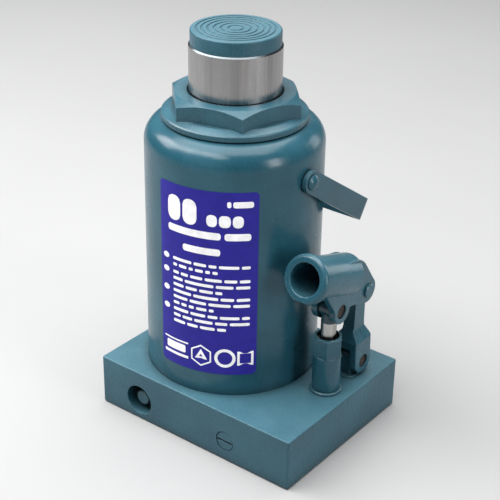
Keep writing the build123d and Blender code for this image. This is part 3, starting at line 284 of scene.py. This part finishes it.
def plunger_steel():
    """The pump plunger: a ground rod below, with old paint and oil over its eye."""
    shader = Shader("plunger_steel")
    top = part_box("pump_plunger")[1].z
    origin = frame["nodes"]["pump_plunger"].matrix_world.translation.z
    eye_foot = top - EYE_SPAN - origin
    split = shader.nodes.new("ShaderNodeSeparateXYZ")
    shader.link(shader.place, split.inputs["Vector"])
    bare = shader.math("LESS_THAN", split.outputs["Z"], eye_foot)
    grain = shader.noise(1.0, 6, 0.65, shader.stretched((300, 300, 20)))
    metal = shader.ramp(grain, (0.3, (0.30, 0.30, 0.29)), (0.7, (0.48, 0.47, 0.46)))
    shader.colour(shader.mix(bare, shader.ramp(grain, (0.3, SHADE_AND_GRIME), (0.8, TEAL)), metal))
    shader.link(bare, shader.surface.inputs["Metallic"])
    shader.roughness(shader.ramp(grain, (0.25, 0.18), (0.8, 0.34)))
    shader.normal(shader.bump(grain, 0.02 * MM))
    return shader.material


def dark_steel():
    """Oily dark steel with a little rust."""
    shader = Shader("dark_steel")
    rust = shader.ramp(shader.noise(260, 6, 0.7), (0.42, (0.035, 0.030, 0.028)),
                       (0.58, (0.060, 0.042, 0.036)), (0.75, (0.115, 0.070, 0.052)))
    shader.colour(rust)
    shader.roughness(shader.ramp(shader.noise(400, 4), (0.3, 0.35), (0.7, 0.75)))
    shader.normal(shader.bump(shader.noise(500, 5, 0.7), 0.12 * MM))
    shader.set(Metallic=0.55)
    return shader.material


def plain(name, colour, rough, grain, depth, metallic=0.0):
    """A quiet material with its own grain, for seals, gaskets and balls."""
    shader = Shader(name)
    mottle = shader.noise(grain, 4, 0.6)
    dark = tuple(channel * 0.75 for channel in colour)
    shader.colour(shader.ramp(mottle, (0.3, dark), (0.7, colour)))
    shader.roughness(shader.ramp(mottle, (0.3, rough), (0.7, min(1.0, rough + 0.15))))
    shader.normal(shader.bump(mottle, depth))
    shader.set(Metallic=metallic)
    return shader.material


def vinyl(name, colour, gloss):
    """Printed vinyl: smooth, slightly mottled ink under a clear film."""
    shader = Shader(name)
    ink = shader.noise(160, 4, 0.6)
    dark = tuple(channel * 0.8 for channel in colour)
    shader.colour(shader.ramp(ink, (0.3, dark), (0.7, colour)))
    shader.roughness(shader.ramp(shader.noise(60, 4), (0.3, gloss), (0.7, gloss + 0.1)))
    shader.normal(shader.bump(shader.noise(300, 3), 0.01 * MM))
    shader.set(Specular_IOR_Level=0.18)
    return shader.material


materials = {
    "painted_casting": enamel("painted_casting", cast=0.45 * MM, peel=0.05 * MM, gloss=0.34),
    "painted_tank": enamel("painted_tank", peel=0.03 * MM, gloss=0.19, top_dust_and_light=0.1, shine=0.34),
    "painted_nut": enamel("painted_nut", cast=0.16 * MM, gloss=0.26, top_dust_and_light=0.15),
    "painted_pump": enamel("painted_pump", cast=0.06 * MM, gloss=0.2),
    "painted_link": enamel("painted_link", cast=0.16 * MM, gloss=0.24),
    "painted_socket": enamel("painted_socket", cast=0.12 * MM, gloss=0.2),
    "painted_saddle": enamel("painted_saddle", cast=0.12 * MM, gloss=0.34, top_dust_and_light=0.3,
                             corner_shade=0.15),
    "painted_handle": enamel("painted_handle", cast=0.05 * MM, gloss=0.28),
    "ground_steel": steel("ground_steel", (0.36, 0.355, 0.355), 0.2, (230, 230, 5), lines=900),
    "machined_steel": steel("machined_steel", (0.36, 0.35, 0.34), 0.3, (300, 300, 40)),
    "plunger_steel": plunger_steel(),
    "valve_spindle_paint": enamel("valve_spindle_paint", cast=0.1 * MM, gloss=0.36, top_dust_and_light=0.2),
    "dark_steel": dark_steel(),
    "valve_ball_steel": plain("valve_ball_steel", (0.6, 0.6, 0.6), 0.12, 300, 0.004 * MM, 1.0),
    "copper_gasket": plain("copper_gasket", (0.62, 0.30, 0.17), 0.35, 300, 0.03 * MM, 1.0),
    "seal_rubber": plain("seal_rubber", (0.022, 0.022, 0.023), 0.55, 350, 0.05 * MM),
    "seal_polyurethane": plain("seal_polyurethane", (0.55, 0.38, 0.10), 0.35, 300, 0.03 * MM),
    "guide_ring_plastic": plain("guide_ring_plastic", (0.55, 0.5, 0.38), 0.5, 300, 0.04 * MM),
    "label_vinyl": vinyl("label_vinyl", (0.022, 0.018, 0.27), 0.4),
}
label_white = vinyl("label_white", (0.97, 0.97, 0.98), 0.4)

slot_of = {part["node"]: part["material_slot"] for part in frame["record"]["subparts"]}
for node, piece in frame["nodes"].items():
    piece.data.materials.clear()
    piece.data.materials.append(materials[slot_of[node]])


# ---------------------------------------------------------------- label print

label_low, label_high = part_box("label")
LABEL_LOW, LABEL_HIGH = label_low.z, label_high.z
LABEL_TALL = LABEL_HIGH - LABEL_LOW
LABEL_HALF = 36.4 * MM  # half its width, along the curve
LABEL_MIDDLE = math.radians(-70)
PRINT_RADIUS = 62.30 * MM
PRINT_SINK = 0.08 * MM
COLUMN_WIDTH = 1.5 * MM  # narrow enough for a flat column to follow the curve
DOT_SIDES = 20
DOT_HOLE = 0.1 * MM


def across(share):
    """A place across the label, 0 at its left edge and 1 at its right."""
    return -LABEL_HALF + 2 * LABEL_HALF * share


def down(share):
    """A height on the label, 0 at its top and 1 at its bottom."""
    return LABEL_HIGH - LABEL_TALL * share


def on_label(x, y):
    """The point on the label's face at a distance across from its middle and a height."""
    angle = LABEL_MIDDLE + x / PRINT_RADIUS
    return Vector((PRINT_RADIUS * math.cos(angle), PRINT_RADIUS * math.sin(angle), y))


def strip(bm, x0, y0, x1, y1, radius):
    """One printed bar: a rounded rectangle wrapped round the tank in narrow columns."""
    # a little under half the bar, so that its corners never meet
    radius = min(radius, (x1 - x0) / 2.01, (y1 - y0) / 2.01)
    columns = max(2, int((x1 - x0) / COLUMN_WIDTH) + 1)
    stations = [x0 + (x1 - x0) * i / columns for i in range(columns + 1)]
    for share in (0.15, 0.45):
        stations += [x0 + radius * share, x1 - radius * share]
    lows, highs = [], []
    for x in sorted(set(stations)):
        edge = min(x - x0, x1 - x)
        inset = 0.0
        if edge < radius:
            inset = radius - math.sqrt(max(0.0, radius**2 - (radius - edge) ** 2))
        lows.append(bm.verts.new(on_label(x, y0 + inset)))
        highs.append(bm.verts.new(on_label(x, y1 - inset)))
    for i in range(len(lows) - 1):
        bm.faces.new((lows[i], lows[i + 1], highs[i + 1], highs[i]))


def ring_print(bm, cx, cy, outer, inner, sides, turn=0.0, squash=1.0):
    """A printed outline with a number of sides, such as a ring or a hexagon.

    Each side is one flat face, so the middle of a long level side dips into the label.
    """
    loops = []
    for radius in (outer, inner):
        loop = []
        for i in range(sides):
            angle = turn + 2 * math.pi * i / sides
            loop.append(bm.verts.new(on_label(cx + radius * math.cos(angle) * squash,
                                              cy + radius * math.sin(angle))))
        loops.append(loop)
    for i in range(sides):
        j = (i + 1) % sides
        bm.faces.new((loops[0][i], loops[0][j], loops[1][j], loops[1][i]))


def disc_print(bm, cx, cy, wide, tall):
    """A printed dot."""
    ring_print(bm, cx, cy, tall, DOT_HOLE, DOT_SIDES, squash=wide / tall)


def word_line(bm, x0, x1, y, height, words, gap):
    """A line of print, as plain bars of the widths that the words share out."""
    total = sum(words)
    room = (x1 - x0) - gap * (len(words) - 1)
    x = x0
    for word in words:
        width = room * word / total
        strip(bm, x, y, x + width, y + height, height * 0.35)
        x += width + gap


def finish_mesh(bm, name, material, thickness=0.0):
    """Turn a bmesh into an object with one material."""
    bmesh.ops.recalc_face_normals(bm, faces=bm.faces)
    mesh = bpy.data.meshes.new(name)
    bm.to_mesh(mesh)
    bm.free()
    mesh.materials.append(material)
    piece = bpy.data.objects.new(name, mesh)
    bpy.context.scene.collection.objects.link(piece)
    if thickness:
        shell = piece.modifiers.new("thickness", "SOLIDIFY")
        shell.thickness = thickness
        shell.offset = 0
    return piece


def label_print():
    """Generic print: blocks for headings, bars for lines of text, plain marks at the foot."""
    bm = bmesh.new()
    # heading blocks, two large and three small, a short code and two title lines
    for left, right in ((0.11, 0.255), (0.28, 0.425)):
        strip(bm, across(left), down(0.19), across(right), down(0.058), 5 * MM)
    word_line(bm, across(0.52), across(0.86), down(0.182), 8.6 * MM, (1, 1.1, 1), 1.3 * MM)
    word_line(bm, across(0.71), across(0.95), down(0.078), 4.4 * MM, (1, 5), 1.2 * MM)
    word_line(bm, across(0.11), across(0.93), down(0.25), 5.2 * MM, (9, 4), 2.6 * MM)
    word_line(bm, across(0.28), across(0.65), down(0.335), 5.0 * MM, (1,), 0)
    # lines of small print, with a dot before each paragraph
    chance = random.Random(7)
    paragraphs = ((0.395, 2), (0.470, 3), (0.572, 3), (0.675, 3))
    pitch = 0.0338
    for top, lines in paragraphs:
        disc_print(bm, across(0.075), down(top), 2.7 * MM, 2.1 * MM)
        for line in range(lines):
            words = [chance.uniform(0.5, 1.6) for _ in range(chance.choice((4, 5, 6)))]
            short = line == lines - 1
            right = chance.uniform(0.5, 0.8) if short else 0.93
            word_line(bm, across(0.165), across(right), down(top + line * pitch) - 1.1 * MM,
                      2.2 * MM, words, 1.7 * MM)
    # plain marks: a bar between two rules, a triangle in a hexagon, a ring and a square ring
    strip(bm, across(0.04), down(0.860), across(0.33), down(0.852), 0.1 * MM)
    strip(bm, across(0.04), down(0.945), across(0.33), down(0.930), 0.1 * MM)
    strip(bm, across(0.07), down(0.915), across(0.30), down(0.872), 1 * MM)
    marks = down(0.905)
    ring_print(bm, across(0.465), marks, 8.6 * MM, 7.4 * MM, 6, math.pi / 6)
    ring_print(bm, across(0.465), marks, 5.2 * MM, 1.6 * MM, 3, math.pi / 2)
    ring_print(bm, across(0.70), marks, 7.4 * MM, 5.2 * MM, 36)
    ring_print(bm, across(0.895), marks, 8.0 * MM, 5.6 * MM, 4, math.pi / 4)
    piece = finish_mesh(bm, "label_print", label_white, PRINT_SINK)
    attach(piece, "root")


label_print()


# ---------------------------------------------------------------- stage, lights and camera

FLOOR_SIZE = 8.0
FLOOR_GAP = 0.2 * MM
floor_mesh = bmesh.new()
bmesh.ops.create_grid(floor_mesh, x_segments=1, y_segments=1, size=FLOOR_SIZE / 2)
floor_shader = Shader("floor")
floor_shader.colour(floor_shader.ramp(floor_shader.noise(3, 3), (0.3, 0.325), (0.7, 0.34)))
floor_shader.set(Roughness=0.7)
floor = finish_mesh(floor_mesh, "floor", floor_shader.material)
floor.location.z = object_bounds()[0].z - FLOOR_GAP


def area_light(name, position, target, size, power):
    """A rectangular lamp of a size and a power in watts, aimed at a point."""
    data = bpy.data.lights.new(name, "AREA")
    data.shape = "RECTANGLE"
    data.size, data.size_y = size
    data.energy = power
    lamp = bpy.data.objects.new(name, data)
    lamp.location = position
    aim = Vector(target) - Vector(position)
    lamp.rotation_euler = aim.to_track_quat("-Z", "Y").to_euler()
    bpy.context.scene.collection.objects.link(lamp)


area_light("overhead", (-0.1, 0.1, 1.7), (0, 0, 0.1), (1.9, 1.9), 58)
area_light("front_top", (-0.2, -0.8, 1.3), (0, 0, 0.2), (1.3, 0.4), 12)
area_light("left_top", (-0.8, -0.6, 1.2), (0, 0, 0.2), (1.0, 0.45), 9)
area_light("back_sheen", (-1.15, 1.5, 0.95), (0, 0, 0.1), (1.3, 0.7), 2)
area_light("shoulder_band", (-1.3, -0.45, 1.05), (0, 0, 0.2), (0.9, 0.6), 15)
area_light("right_strip", (1.35, -0.05, 0.5), (0, 0, 0.12), (0.35, 0.8), 8)
area_light("right_rim", (0.5, 1.3, 0.45), (0, 0, 0.12), (0.5, 0.7), 3)
area_light("front_fill", (0.15, -1.5, 0.6), (0, 0, 0.12), (1.0, 0.6), 0.7)
world = bpy.data.worlds.new("studio")
bpy.context.scene.world = world
world.use_nodes = True
background = world.node_tree.nodes["Background"]
background.inputs["Color"].default_value = (0.92, 0.96, 1.0, 1)
background.inputs["Strength"].default_value = 0.09

CAMERA_PLACE = Vector((0.49345, -0.62713, 0.54007))
CAMERA_AZIMUTH, CAMERA_PITCH, CAMERA_ROLL = (math.radians(a) for a in (37.36, 27.69, 1.03))
CAMERA_LENS = 91.0
CAMERA_SENSOR = 36.0
back = Vector((math.sin(CAMERA_AZIMUTH) * math.cos(CAMERA_PITCH),
               -math.cos(CAMERA_AZIMUTH) * math.cos(CAMERA_PITCH), math.sin(CAMERA_PITCH)))
level = Vector((math.cos(CAMERA_AZIMUTH), math.sin(CAMERA_AZIMUTH), 0))
right = level * math.cos(CAMERA_ROLL) + back.cross(level) * math.sin(CAMERA_ROLL)
up = back.cross(right)
camera_data = bpy.data.cameras.new("camera")
camera_data.sensor_width = CAMERA_SENSOR
camera_data.lens = CAMERA_LENS
camera = bpy.data.objects.new("camera", camera_data)
axes = Matrix((right, up, back)).transposed().to_4x4()
camera.matrix_world = Matrix.Translation(CAMERA_PLACE) @ axes
bpy.context.scene.collection.objects.link(camera)
bpy.context.scene.camera = camera
bpy.context.scene.view_settings.view_transform = "Standard"
